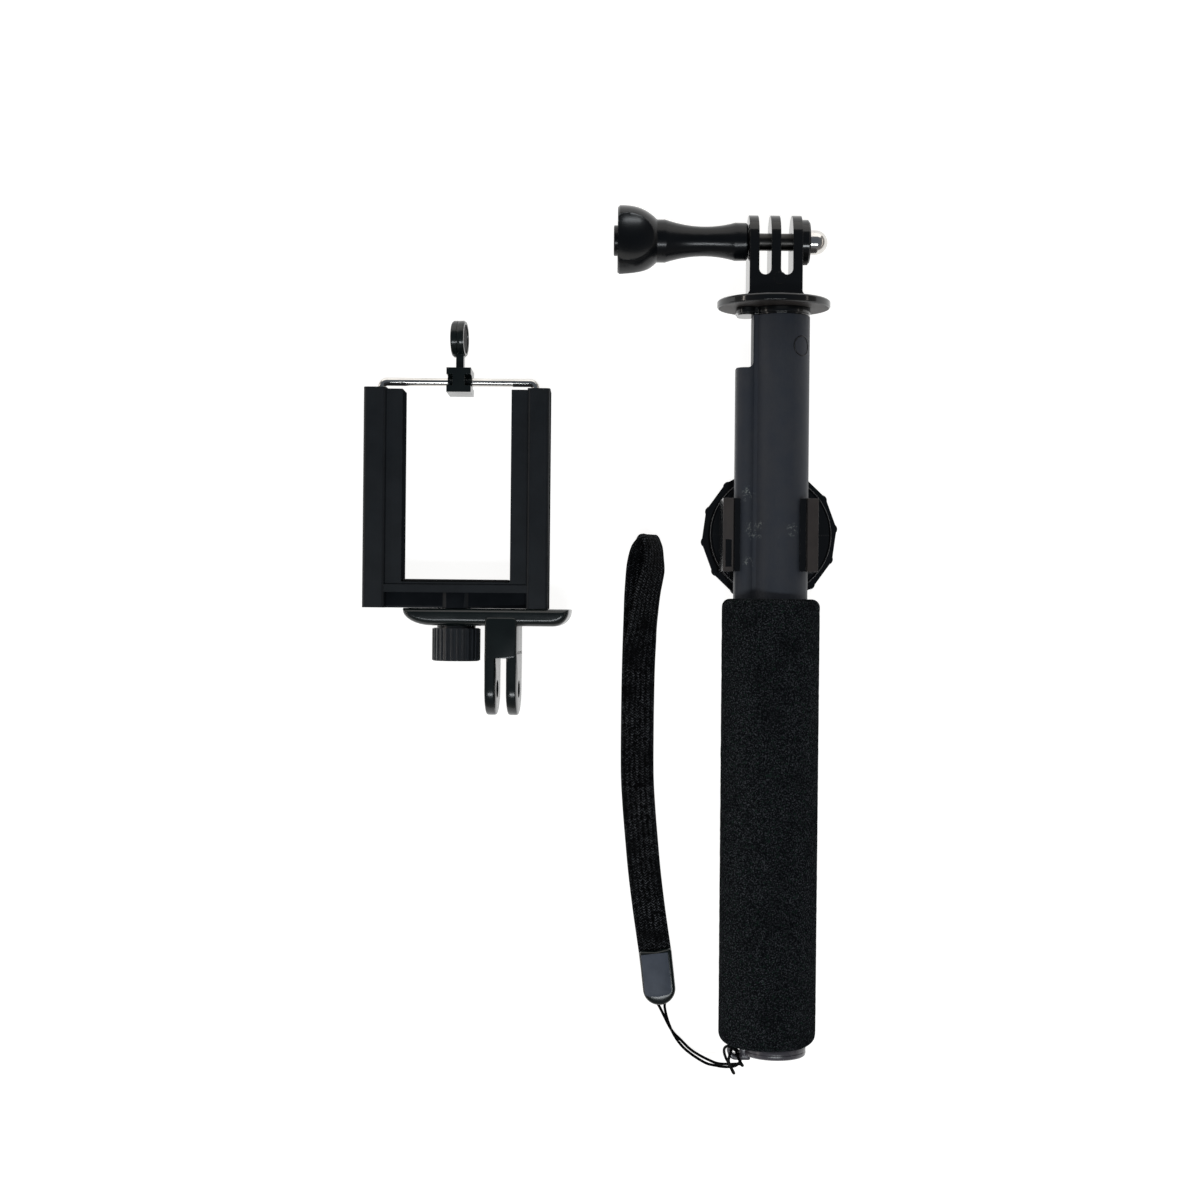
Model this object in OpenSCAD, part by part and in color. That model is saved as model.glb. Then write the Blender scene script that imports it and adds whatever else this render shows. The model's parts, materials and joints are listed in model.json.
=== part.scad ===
// Telescopic selfie stick laid flat beside its detached spring-loaded phone clamp.
// Millimetres. The pole lies along Y with its head towards +Y, everything rests on z = 0.

/* [Pole] */
// Distance of the pole axis to the right of the origin
pole_x = 48.4; // [46:0.1:52]
// Height of the pole axis above the surface it lies on
axis_z = 16.15; // [16.15:0.05:17]
// Outer radius of the round part of the outer tube
tube_r = 8.2; // [8.0:0.1:8.4]
// Wall thickness of the outer tube
tube_wall = 1.0; // [0.8:0.1:1.0]
// Sideways offset of the telescopic sections from the pole axis
tube_dx = 2.2; // [2.0:0.1:2.4]
// Position of the mouth of the outer tube along the pole
mouth_y = 89.9; // [89.5:0.1:90]
// Lower edge of the milled window in the side channel
window_y = 75; // [72:0.5:78]

/* [Grip] */
// Position of the lower end of the foam grip
grip_y = -117.6; // [-120:0.1:-116]
// Length of the foam grip
grip_len = 127; // [120:0.5:127]
// Radius of the foam grip at its upper end
grip_r = 14.0; // [13.5:0.05:14.2]
// Radius of the foam grip at its lower end
grip_r_low = 13.85; // [13.2:0.05:14]

/* [Telescopic sections] */
// Outer radius of the largest inner section
section_r = 5.4; // [5.2:0.05:5.45]
// Step in radius from one section to the next
section_step = 0.75; // [0.7:0.01:0.78]
// Wall thickness of each inner section
section_wall = 0.4; // [0.35:0.05:0.4]
// Position of the lower end of the largest inner section
section_y = -103; // [-104:0.5:-96]
// Length of the guide bush at the foot of each section
bush_len = 8; // [5:0.5:10]

/* [Camera head] */
// Radius of the disc flange under the prongs
flange_r = 16.15; // [15.5:0.05:16.15]
// Position of the clamp screw axis along the pole
screw_y = 111.35; // [110:0.05:113]
// Width and depth of the three-prong block
prong_w = 15; // [14.6:0.1:15.4]
// Width of each slot between the prongs
slot_w = 3.4; // [3:0.05:3.5]
// Radius of the clamp screw
bolt_r = 2.45; // [2.3:0.05:2.5]
// Length of the clamp screw handle
handle_len = 37.1; // [36:0.1:40]

/* [Mirror clip] */
// Position of the clip along the pole
clip_y = 28.0; // [27:0.1:40]
// Length of the two clip arms along the pole
arm_len = 20.7; // [16:0.1:24]
// Radius of the round clip base
base_r = 17.4; // [16.5:0.1:17.5]
// Outer radius of the twist ring over its grip nubs
ring_r = 20.1; // [19.2:0.1:20.2]
// Turn of the twist ring as it lies
ring_turn = -7.6; // [-20:0.1:20]

/* [Phone clamp] */
// Middle of the phone clamp across the surface
clamp_x = -41.9; // [-45:0.1:-40]
// Height of the middle plane of the clamp above the surface
clamp_z = 8.6; // [8.6:0.05:10]
// Outer width of the U frame
frame_w = 53.4; // [52:0.1:56]
// Width of the open window in the U frame
gap_w = 31.2; // [28:0.1:32]
// Depth of the U frame from back to front
frame_d = 14.4; // [12:0.1:14.6]
// Position of the lower edge of the U frame
frame_y = 5.9; // [5:0.1:7]
// Position of the upper end of the U frame
frame_top = 69.1; // [66:0.1:72]
// Diameter of the spring-loaded wire bail
wire_d = 2.4; // [1.8:0.1:2.6]
// Width of the two-prong fork
fork_w = 9.2; // [8.8:0.1:9.4]
// Turn of the adapter about its thumb screw as it lies
adapter_turn = -4; // [-4:0.5:0]

/* [Lanyard] */
// Width of the woven wrist strap
strap_w = 9.6; // [8:0.1:12]
// Thickness of the doubled wrist strap
strap_t = 3.0; // [2:0.1:4]
// Diameter of the thin loop cord
cord_d = 0.8; // [0.6:0.1:1.2]

/* [Hidden] */
$fn = 64;
eps = 0.01;              // overshoot of a cutting tool
fit = 0.05;              // radial clearance of a running fit
gap = 0.3;               // clearance between pieces that move past each other

// Side channel of the outer tube: two round corners joined by a flat flank
lobe_x = -7.65;          // centres of the corners from the pole axis
lobe_z = 2.2;            // height of the corner centres above and below the axis
lobe_r = 3.0;            // corner radius
lobe_step = 4.5;         // height of the narrow ledge between the channel and the round tube
lobe_cut_x = -6.0;       // inner end of the milled window
window_r = 1.6;          // inner corner radius of the milled window

// Lock button in the tube wall
button_y = 81.0;
button_turn = 42;        // from straight up towards +X
button_r = 2.6;
button_gap = 0.25;
button_flange_r = 3.8;
button_in = 6.6;         // distance of its underside from the tube axis
leaf_y0 = 63;            // leaf spring under the button
leaf_y1 = 84.8;
leaf_foot = 5;
leaf_w = 4;
leaf_r = 6.1;
leaf_t = 0.3;

// End cap and bushes
plug_len = 12;           // stem of the end cap inside the tube
plug_bore = 5.6;
cap_lip = 0.7;
cap_flange = 3.1;
cap_lobe_t = 1.5;        // flange of the end cap over the side channel
mouth_bush_len = 4.6;
mouth_neck = 3;          // necked length at the mouth of each section

// Head stack above the tube mouth
cap_y = 90.0;
cap_t = 2.2;
flange_y = cap_y + cap_t;
flange_t = 2.7;
boss_r = 6.4;
boss_x = 9.95;          // outer face of the nut boss from the pole axis
nut_depth = 2.4;
nut_r = 3.5;
slot_depth = 8.7;        // bottom of the slots between the prongs, from the screw axis
foot_flare = 0.9;        // widening of the prong block at its foot
stem_len = 12;           // stem of the top cap inside the smallest section
stud_flange_r = 4.55;
insert_r = 4.5;          // quarter-inch insert in the foot of the head
insert_len = 7.3;
bolt_head_r = 4.3;       // hexagon head of the clamp screw, over its corners
bolt_head_t = 3.1;
handle_x = -prong_w/2 - 0.15;      // end of the handle next to the prongs
handle_end = handle_x - handle_len;
handle_r_end = 5.35;
handle_r_waist = 4.2;
handle_r_neck = 6.1;
handle_r_rim = 10.0;
waist_from = 3.6;        // stretch of the waist, from the prong end
waist_to = 23.6;
waist_mid = 12.4;
waist_curve = 0.0154;    // radius gained per squared millimetre from the waist
neck_len = 25.9;         // from the prong end to the neck below the flared rim
cap_bore = 4.4;          // pocket for the screw head and its round end cap
scoop_r = 14.2;          // round scoops between the three lobes of the rim
scoop_depth = 5.6;       // radius left under each scoop
scoop_in = 4.0;          // middle of each scoop from the rim

// Mirror clip, stacked up from the surface
clip_x = pole_x + 0.55;
arm_y0 = clip_y - arm_len/2 - 0.5;
nub_angles = [-42, -14, 14, 42, 66, 90, 114];
lip_t = 0.8;
mirror_r = 16.2;
mirror_z = 0.9;
mirror_t = 1.5;
pad_t = 0.9;
base_z = mirror_z + mirror_t + pad_t;
base_top = axis_z - tube_r - gap;
ring_t = 2.1;

// Phone clamp
upright_w = 6.5;         // thick outer part of each upright
leg_x = 22.3;            // wire legs from the middle of the clamp
leg_bore = 2.7;
wire_r = wire_d/2;
bail_y = 71.3;           // axis of the cross wire
bend_r = 1.6;            // bend of the bail at each leg
foot_y = 13;             // lower end of the wire legs
spring_r = 1.95;         // mean radius of the springs round the legs
spring_wire = 0.7;
spring_len = 49;
sill_y = 13.4;           // lower edge of the window
flange_in = 1.2;         // recess of the thin inner part of each upright
panel_in = 2.6;          // recess of the panel under the window
panel_top = frame_y + 4.5;
plate_t = 5.0;
plate_d = 15;
plate_left = -14.9;      // ends of the adapter plate from the thumb screw
plate_right = 33.1;
plate_y = frame_y - plate_t;
fork_x = 13.75;
fork_y = -17.3;          // axis of the fork bore
fork_r = 7.4;
fork_bore = 2.5;
fork_slot = 3.3;
knob_r = 7.0;
knob_len = 10.1;
screw_r = 3.1;           // quarter-inch tripod thread
claw_x = 0.45;           // claw from the middle of the clamp
stem_w = 2.2;
stem_d = 5;
paddle_y = 12.5;         // finger paddle above the cross wire
paddle_r = 5.3;
paddle_t = 3.8;

// Lanyard
slider_top = [16.8, -94.2];
slider_end = [18.5, -109.3];
slider_w = 9.3;
slider_h = 5.0;
lug_x = -8.8;            // eye of the end cap from the pole axis
lug_y = -119.5;
lug_r = 2.5;
lug_t = 4.4;
eye_r = 1.2;
strap_route = [[13.0, 27.2], [13.0, 24.9], [12.7, 19], [12.0, 12], [11.4, 4], [11.1, -6], [10.9, -16],
               [10.9, -28], [11.0, -42], [11.6, -52], [12.5, -62], [13.4, -71], [14.7, -81],
               [15.9, -89], [16.7, -94.2]];
strap_widths = [6.5, 9, 11.3, 10.8, 10.1, 9.6];
cord_route = [[39.6, -119.5, 16.4], [39.65, -119.7, 18.6], [40.05, -120.9, 20.2], [40.9, -122.8, 20.1],
              [41.4, -124.2, 17.4], [40.7, -124.6, 13.3], [37.8, -125.2, 9.4], [34.2, -125.8, 4.9],
              [28.2, -123.5, 1.2], [24.4, -120.0, 1.4], [21.6, -116.9, 1.9], [18.2, -110.4, 1.9],
              [16.3, -107.2, 1.9], [17.4, -105.0, 1.8], [19.7, -105.0, 1.6], [20.7, -107.4, 1.4],
              [19.7, -110.4, 1.2], [21.6, -117.0, 0.6], [25.3, -122.5, 0.6], [31.2, -126.4, 1.9],
              [34.8, -126.8, 4.7], [37.7, -126.3, 8.3], [40.2, -125.2, 10.8], [41.4, -123.2, 11.6],
              [40.9, -121.2, 11.9], [39.8, -119.8, 13.5], [39.6, -119.5, 16.0]];

// ---------- helpers ----------

// Flat outline extruded along the pole, its own y becoming height
module along_pole(y0, y1) {
    translate([pole_x, y1, axis_z]) rotate([90, 0, 0]) linear_extrude(y1 - y0) children();
}

// Rod along Y
module y_rod(x, z, y0, y1, r) {
    translate([x, y1, z]) rotate([90, 0, 0]) cylinder(r = r, h = y1 - y0);
}

// Rod along X
module x_rod(y, z, x0, x1, r) {
    translate([x0, y, z]) rotate([0, 90, 0]) cylinder(r = r, h = x1 - x0);
}

// Rod along Z
module z_rod(x, y, z0, z1, r) {
    translate([x, y, z0]) cylinder(r = r, h = z1 - z0);
}

// Outline [radius, height] spun about a line along +Y
module spin_y(x, y, z) {
    translate([x, y, z]) rotate([-90, 0, 0]) rotate_extrude() children();
}

// Outline [radius, height] spun about a line along -X, height growing away from the prongs
module spin_x(x, y, z) {
    translate([x, y, z]) rotate([0, -90, 0]) rotate_extrude() children();
}

// Box from its lowest corner to its highest corner
module box(low, high) {
    translate(low) cube(high - low);
}

// Rectangle with true round corners, centred
module round_rect(w, h, r) {
    square([w - 2*r, h], center = true);
    square([w, h - 2*r], center = true);
    for (sx = [-1, 1], sy = [-1, 1]) translate([sx*(w/2 - r), sy*(h/2 - r)]) circle(r = r);
}

// Side channel of the tube, grown outwards by g
module lobe_outline(g = 0) {
    for (s = [-1, 1]) translate([lobe_x, s*lobe_z]) circle(r = lobe_r + g);
    translate([lobe_x - lobe_r - g, -lobe_z]) square([lobe_r + g + tube_dx - lobe_x, 2*lobe_z]);
    translate([lobe_x, -lobe_step - g]) square([tube_dx - lobe_x, 2*lobe_step + 2*g]);
}

// Full keyed outline of the tube, grown outwards by g
module tube_outline(g = 0) {
    translate([tube_dx, 0]) circle(r = tube_r + g);
    lobe_outline(g);
}

// Outline of the telescopic bore
module bore_outline(r) {
    translate([tube_dx, 0]) circle(r = r);
}

function section_radius(k) = section_r - (k - 1)*section_step;
function section_foot(k) = section_y + 2*(k - 1);
function arc(cx, cy, r, a0, a1, n = 6) = [for (i = [0:n]) let(a = a0 + (a1 - a0)*i/n)
    [cx + r*cos(a), cy + r*sin(a)]];

// ---------- pole ----------

module outer_tube() {
    color("dimgray") difference() {
        union() {
            along_pole(grip_y, mouth_y) bore_outline(tube_r);
            difference() {
                along_pole(grip_y, mouth_y) lobe_outline();
                milled_window();
            }
        }
        along_pole(grip_y - eps, mouth_y + eps) bore_outline(tube_r - tube_wall);
        along_pole(grip_y - eps, window_y + eps) channel_pocket();
        button_axis() cylinder(r = button_r + button_gap, h = tube_r + 2);
    }
}

// Window milled through the side channel up to the tube mouth, its inner corner round
module milled_window() {
    cut_w = 20;
    cut_h = 30;
    translate([pole_x + lobe_cut_x - cut_w/2, window_y + cut_h/2, 0])
        linear_extrude(2*axis_z) round_rect(cut_w, cut_h, window_r);
}

// Hollow of the side channel
module channel_pocket() {
    for (s = [-1, 1]) translate([lobe_x, s*lobe_z]) circle(r = lobe_r - 1.1);
    translate([lobe_x - lobe_r + 1.1, -lobe_z]) square([2, 2*lobe_z]);
}

// Frame of the lock button: z runs out through the tube wall
module button_axis() {
    translate([pole_x + tube_dx, button_y, axis_z]) rotate([0, button_turn, 0]) children();
}

module foam_grip() {
    r_top = 2.3;
    r_low = 3.4;
    color("black") difference() {
        spin_y(pole_x, grip_y, axis_z) polygon(concat(
            [[0, 0]],
            arc(grip_r_low - r_low, r_low, r_low, -90, 0),
            arc(grip_r - r_top, grip_len - r_top, r_top, 0, 90),
            [[0, grip_len]]));
        along_pole(grip_y - eps, grip_y + grip_len + eps) tube_outline();
    }
}

module end_cap() {
    color("black") difference() {
        union() {
            along_pole(grip_y - cap_flange, grip_y) bore_outline(tube_r + cap_lip);
            along_pole(grip_y - cap_lobe_t, grip_y) lobe_outline(0.1);
            along_pole(grip_y, grip_y + plug_len) bore_outline(tube_r - tube_wall - fit);
            intersection() {
                z_rod(pole_x + lug_x, lug_y, axis_z - lug_t/2, axis_z + lug_t/2, lug_r);
                box([0, lug_y - lug_r, 0], [pole_x, grip_y, 2*axis_z]);
            }
            box([pole_x + lug_x, lug_y - lug_r, axis_z - lug_t/2],
                [pole_x + lug_x + 4, grip_y, axis_z + lug_t/2]);
        }
        z_rod(pole_x + lug_x, lug_y, 0, 2*axis_z, eye_r);
        along_pole(grip_y + 2, grip_y + plug_len + eps) bore_outline(plug_bore);
    }
}

module mouth_bush() {
    color("white") along_pole(mouth_y - gap - mouth_bush_len, mouth_y - gap) difference() {
        bore_outline(tube_r - tube_wall - fit);
        bore_outline(section_r + fit);
    }
}

module lock_button() {
    color("dimgray") union() {
        intersection() {
            button_axis() cylinder(r = button_r, h = tube_r + 2);
            along_pole(button_y - 6, button_y + 6) ring_outline(button_in, tube_r);
        }
        intersection() {
            button_axis() cylinder(r = button_flange_r, h = tube_r + 2);
            along_pole(button_y - 6, button_y + 6) ring_outline(button_in - fit, tube_r - tube_wall - 0.2);
        }
    }
}

module ring_outline(r_in, r_out) {
    difference() {
        bore_outline(r_out);
        bore_outline(r_in);
    }
}

// Leaf spring: a narrow strip along the bore, its foot against the tube wall
module button_spring() {
    color("silver") intersection() {
        union() {
            along_pole(leaf_y0, leaf_y1) ring_outline(leaf_r, leaf_r + leaf_t);
            along_pole(leaf_y0, leaf_y0 + leaf_foot) ring_outline(leaf_r, tube_r - tube_wall);
        }
        button_axis() box([-leaf_w/2, -30, 0], [leaf_w/2, 30, tube_r]);
    }
}

// Tube of one telescopic section, necked in at its mouth around the next one
module section(k, y_top) {
    r = section_radius(k);
    neck = k < 5 ? section_radius(k + 1) + fit : r - section_wall;
    color("lightgray") difference() {
        along_pole(section_foot(k), y_top) bore_outline(r);
        along_pole(section_foot(k) - eps, y_top - mouth_neck) bore_outline(r - section_wall);
        along_pole(y_top - mouth_neck - eps, y_top + eps) bore_outline(neck);
    }
}

module section_1() { section(1, mouth_y - gap); }
module section_2() { section(2, mouth_y - gap); }
module section_3() { section(3, mouth_y - gap); }
module section_4() { section(4, mouth_y - gap); }
module section_5() { section(5, mouth_y - 0.1); }

// Guide bush pressed on the foot of one section
module foot_bush(k) {
    outer = k > 1 ? section_radius(k - 1) - section_wall - fit : tube_r - tube_wall - fit;
    color("gold") along_pole(section_foot(k), section_foot(k) + bush_len) difference() {
        bore_outline(outer);
        bore_outline(section_radius(k));
    }
}

module foot_bush_1() { foot_bush(1); }
module foot_bush_2() { foot_bush(2); }
module foot_bush_3() { foot_bush(3); }
module foot_bush_4() { foot_bush(4); }
module foot_bush_5() { foot_bush(5); }

// ---------- camera head ----------

module top_cap() {
    stem_r = section_radius(5) - section_wall - fit;
    color("black") difference() {
        union() {
            along_pole(cap_y, cap_y + 0.5) tube_outline(-0.3);
            along_pole(cap_y + 0.5, cap_y + cap_t) tube_outline(0.1);
            along_pole(cap_y - stem_len, cap_y + 1) bore_outline(stem_r);
        }
        y_rod(pole_x, axis_z, cap_y + 1, cap_y + cap_t + eps, stud_flange_r + fit);
    }
}

module tripod_stud() {
    color("silver") union() {
        y_rod(pole_x, axis_z, cap_y + 1, cap_y + cap_t, stud_flange_r);
        y_rod(pole_x, axis_z, cap_y + cap_t, flange_y + 7.2, screw_r);
    }
}

module mount_head() {
    half = prong_w/2;
    base_top_y = flange_y + flange_t;
    color("black") difference() {
        union() {
            spin_y(pole_x, flange_y, axis_z) polygon([
                [0, 0.05], [flange_r - 0.4, 0.05], [flange_r, 0.45], [flange_r, 1.9], [flange_r - 0.45, 2.35],
                [flange_r - 1.5, 2.4], [flange_r - 4, flange_t], [0, flange_t]]);
            translate([pole_x, screw_y, axis_z]) translate([-half, 0, 0]) rotate([0, 90, 0])
                cylinder(r = half, h = prong_w);
            box([pole_x - half, base_top_y - 1, axis_z - half], [pole_x + half, screw_y, axis_z + half]);
            translate([pole_x, base_top_y, axis_z - half]) linear_extrude(prong_w) polygon([
                [-half - foot_flare, -0.2], [half + foot_flare, -0.2], [half, 1.4], [-half, 1.4]]);
            x_rod(screw_y, axis_z, pole_x + half - 1, pole_x + boss_x - 0.4, boss_r);
            x_rod(screw_y, axis_z, pole_x + half - 1, pole_x + boss_x, boss_r - 0.5);
        }
        for (s = [-1, 1]) {
            slot_x = s*(prong_w/6 + slot_w/6);
            z_rod(pole_x + slot_x, screw_y - slot_depth, 0, 2*axis_z, slot_w/2);
            box([pole_x + slot_x - slot_w/2, screw_y - slot_depth, 0],
                [pole_x + slot_x + slot_w/2, screw_y + 2*half, 2*axis_z]);
        }
        x_rod(screw_y, axis_z, pole_x - 20, pole_x + 20, bolt_r + 0.15);
        x_rod(screw_y, axis_z, pole_x + boss_x - nut_depth, pole_x + 20, nut_r + 0.1);
        y_rod(pole_x, axis_z, flange_y - 1, flange_y + insert_len + 0.3, insert_r);
    }
}

module head_insert() {
    color("gold") difference() {
        y_rod(pole_x, axis_z, flange_y + 0.1, flange_y + 0.1 + insert_len, insert_r);
        y_rod(pole_x, axis_z, flange_y - 1, flange_y + insert_len + 1, screw_r + fit);
    }
}

function waist(s) = min(handle_r_neck, handle_r_waist + waist_curve*pow(s - waist_mid, 2));
function flare(t) = handle_r_neck + (handle_r_rim - handle_r_neck)*(1 - pow(1 - t, 2.7));

module thumb_handle() {
    steps = 12;
    rim_len = handle_len - neck_len - 0.6;
    color("black") difference() {
        spin_x(pole_x + handle_x, screw_y, axis_z) polygon(concat(
            [[0, 0], [handle_r_end - 0.5, 0], [handle_r_end, 0.5]],
            [for (i = [0:steps]) let(s = waist_from + (waist_to - waist_from)*i/steps) [waist(s), s]],
            [for (i = [0:steps]) [flare(i/steps), neck_len + rim_len*i/steps]],
            [[handle_r_rim - 0.6, handle_len], [0, handle_len]]));
        for (a = [0:120:240])
            translate([pole_x + handle_end + scoop_in, screw_y, axis_z]) rotate([a, 0, 0])
                translate([0, 0, scoop_depth + scoop_r]) sphere(r = scoop_r);
        x_rod(screw_y, axis_z, pole_x + handle_end + 4, pole_x, bolt_r + fit);
        x_rod(screw_y, axis_z, pole_x + handle_end - eps, pole_x + handle_end + 5, cap_bore);
    }
}

module handle_cap() {
    end_x = pole_x + handle_end;
    color("black") x_rod(screw_y, axis_z, end_x - 1.1, end_x + 1.6, cap_bore - fit);
}

module clamp_bolt() {
    color("dimgray") union() {
        x_rod(screw_y, axis_z, pole_x + handle_end + 4, pole_x + boss_x + 2.6, bolt_r);
        translate([pole_x + handle_end + 1.8, screw_y, axis_z]) rotate([0, 90, 0])
            cylinder(r = bolt_head_r, h = bolt_head_t, $fn = 6);
    }
}

module dome_nut() {
    color("lightgray") difference() {
        union() {
            x_rod(screw_y, axis_z, pole_x + boss_x - nut_depth + 0.1, pole_x + boss_x + 1.8, nut_r);
            translate([pole_x + boss_x + 1.8, screw_y, axis_z]) sphere(r = nut_r);
        }
        x_rod(screw_y, axis_z, pole_x, pole_x + boss_x + 2.8, bolt_r + fit);
    }
}

// ---------- mirror clip ----------

module clip_base() {
    bead_z = 1.3;
    color("black") difference() {
        union() {
            z_rod(clip_x, clip_y, base_z, base_top - 0.4, base_r);
            z_rod(clip_x, clip_y, base_z, base_top, base_r - 0.5);
            z_rod(clip_x, clip_y, 1.0, base_z + 1, base_r);
            z_rod(clip_x, clip_y, bead_z, bead_z + 0.3, base_r + 0.15);
            translate([0, arm_y0, 0]) clip_arms();
        }
        z_rod(clip_x, clip_y, 0, base_z, mirror_r + 0.15);
    }
}

// Two sprung arms that hook round the keyed tube
module clip_arms() {
    difference() {
        translate([pole_x, arm_len, axis_z]) rotate([90, 0, 0]) linear_extrude(arm_len) difference() {
            union() {
                polygon([[-14.4, base_top - axis_z - 1], [-14.2, 5.9], [-11.3, 6.7], [-11.0, 6.3],
                         [-10.9, 5.8], [-9.4, 5.8], [-9.4, 0], [-8, base_top - axis_z - 1]]);
                polygon([[12.8, base_top - axis_z - 1], [12.6, 7.2], [9.5, 8.2], [9.2, 7.8],
                         [9.1, 7.3], [7.4, 7.3], [7.4, 0], [6, base_top - axis_z - 1]]);
            }
            tube_outline(gap);
        }
        // Shallow pocket in the lower half of the left arm
        box([pole_x - 13.6, 1.2, axis_z + 6.1], [pole_x - 11.7, 9, axis_z + 8]);
    }
}

// Grip ring: straight flats between small round nubs, closer together at its ends
module twist_ring() {
    nub_r = 1.6;
    color("black") difference() {
        rotate_about(clip_x, clip_y, ring_turn) union() {
            translate([0, 0, 0.3]) linear_extrude(ring_t - 0.3)
                hull() nub_circles(ring_r - nub_r - 0.25, nub_r);
            linear_extrude(0.3) hull() nub_circles(ring_r - nub_r - 0.6, nub_r);
            translate([0, 0, 0.3]) linear_extrude(ring_t - 0.5) nub_circles(ring_r - nub_r, nub_r);
        }
        z_rod(clip_x, clip_y, lip_t, ring_t + 1, base_r + 0.35);
        z_rod(clip_x, clip_y, -1, ring_t, mirror_r - 1.0);
    }
}

module nub_circles(at, r) {
    for (a = nub_angles, half_turn = [0, 180])
        rotate(a + half_turn) translate([at, 0]) circle(r = r, $fn = 32);
}

module rotate_about(x, y, a) {
    translate([x, y, 0]) rotate([0, 0, a]) children();
}

module mirror_disc() {
    color("lightblue") z_rod(clip_x, clip_y, mirror_z, mirror_z + mirror_t, mirror_r);
}

module mirror_pad() {
    color("white") z_rod(clip_x, clip_y, mirror_z + mirror_t, base_z, mirror_r - 2);
}

// ---------- phone clamp ----------

module clamp_frame() {
    x0 = clamp_x - frame_w/2;
    x1 = clamp_x + frame_w/2;
    z0 = clamp_z - frame_d/2;
    z1 = clamp_z + frame_d/2;
    color("black") difference() {
        union() {
            for (s = [-1, 1]) {
                upright_x = clamp_x + s*(frame_w - upright_w)/2;
                translate([upright_x, frame_top, clamp_z]) rotate([90, 0, 0])
                    linear_extrude(frame_top - frame_y) round_rect(upright_w, frame_d, 1.2);
            }
            box([x0 + upright_w - 1.5, panel_top, z0 + flange_in],
                [x1 - upright_w + 1.5, frame_top - 0.4, z1 - flange_in]);
            box([x0 + upright_w - 1.5, frame_y + gap, z0 + panel_in],
                [x1 - upright_w + 1.5, panel_top + 1, z1 - panel_in]);
            box([x0 + upright_w - 1.5, panel_top, z0 + 0.4],
                [x1 - upright_w + 1.5, panel_top + 2.2, z1 - 0.4]);
            y_rod(clamp_x, clamp_z, frame_y, frame_y + 4.6, 5.9);
        }
        box([clamp_x - gap_w/2, sill_y, 0], [clamp_x + gap_w/2, frame_top + 1, 30]);
        for (s = [-1, 1]) {
            y_rod(clamp_x + s*leg_x, clamp_z, frame_y - 1, frame_top - 3, leg_bore);
            y_rod(clamp_x + s*leg_x, clamp_z, frame_top - 4, frame_top + 1, wire_r + fit);
        }
        y_rod(clamp_x, clamp_z, frame_y - 1, frame_y + 6.6, 4.2);
        y_rod(clamp_x, clamp_z, frame_y - 1, frame_y + 7.0, 3.3);
    }
}

module frame_plugs() {
    color("black") for (s = [-1, 1])
        y_rod(clamp_x + s*leg_x, clamp_z, frame_y, frame_y + 3, leg_bore - fit);
}

module frame_insert() {
    color("gold") difference() {
        y_rod(clamp_x, clamp_z, frame_y + 0.1, frame_y + 6.5, 4.2 - fit);
        y_rod(clamp_x, clamp_z, frame_y - 1, frame_y + 8, screw_r + fit);
    }
}

module base_pad() {
    color("dimgray") box([clamp_x - gap_w/2 + 0.4, sill_y, clamp_z - 4.8],
                         [clamp_x + gap_w/2 - 0.4, sill_y + 0.8, clamp_z + 4.8]);
}

module bail_wire() {
    half = leg_x - bend_r;
    color("silver") union() {
        for (s = [-1, 1]) {
            y_rod(clamp_x + s*leg_x, clamp_z, foot_y, bail_y - bend_r, wire_r);
            translate([clamp_x + s*half, bail_y - bend_r, clamp_z])
                rotate([0, s < 0 ? 180 : 0, 0]) rotate_extrude(angle = 90)
                    translate([bend_r, 0]) circle(r = wire_r);
        }
        x_rod(bail_y, clamp_z, clamp_x - half, clamp_x + half, wire_r);
    }
}

module bail_feet() {
    color("silver") for (s = [-1, 1]) difference() {
        y_rod(clamp_x + s*leg_x, clamp_z, foot_y - 1, foot_y + 3, leg_bore - fit);
        y_rod(clamp_x + s*leg_x, clamp_z, foot_y, foot_y + 4, wire_r);
    }
}

// Compression spring round each wire leg
module bail_springs() {
    color("silver") for (s = [-1, 1])
        translate([clamp_x + s*leg_x, foot_y + 3.3, clamp_z]) rotate([-90, 0, 0])
            coil(spring_r, spring_wire/2, spring_len, 11);
}

// Helical wire: mean radius, wire radius, length, turns
module coil(r, w, len, turns) {
    per_turn = 12;
    sides = 5;
    n = turns*per_turn;
    points = [for (i = [0:n], j = [0:sides - 1]) let(a = 360*i/per_turn, b = 360*j/sides)
        [(r + w*cos(b))*cos(a), (r + w*cos(b))*sin(a), w + (len - 2*w)*i/n + w*sin(b)]];
    polyhedron(points, tube_faces(n + 1, sides));
}

module top_claw() {
    x = clamp_x + claw_x;
    half_d = 7.1;
    block = 3.5;
    color("black") difference() {
        union() {
            // H-shaped block on the cross wire
            box([x - block, bail_y + 1.6, clamp_z - half_d], [x + block, bail_y + block, clamp_z + half_d]);
            box([x - block, bail_y - block, clamp_z - half_d], [x + block, bail_y - 1.6, clamp_z + half_d]);
            box([x - 1.7, bail_y - block, clamp_z - half_d], [x + 1.7, bail_y + block, clamp_z + half_d]);
            x_rod(bail_y, clamp_z, x - block, x + block, 2.4);
            // Stem and round finger paddle
            box([x - stem_w/2, bail_y + block - 0.5, clamp_z - stem_d/2],
                [x + stem_w/2, bail_y + 9, clamp_z + stem_d/2]);
            paddle_axis() {
                x_rod(0, 0, -paddle_t/2, paddle_t/2, paddle_r - 0.35);
                x_rod(0, 0, -paddle_t/2 + 0.4, -0.2, paddle_r);
                x_rod(0, 0, 0.2, paddle_t/2 - 0.4, paddle_r);
            }
        }
        x_rod(bail_y, clamp_z, x - 10, x + 10, wire_r + fit);
        paddle_axis() x_rod(0, 0, paddle_t/2 - 0.7, paddle_t, paddle_r - 1.1);
    }
}

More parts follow.
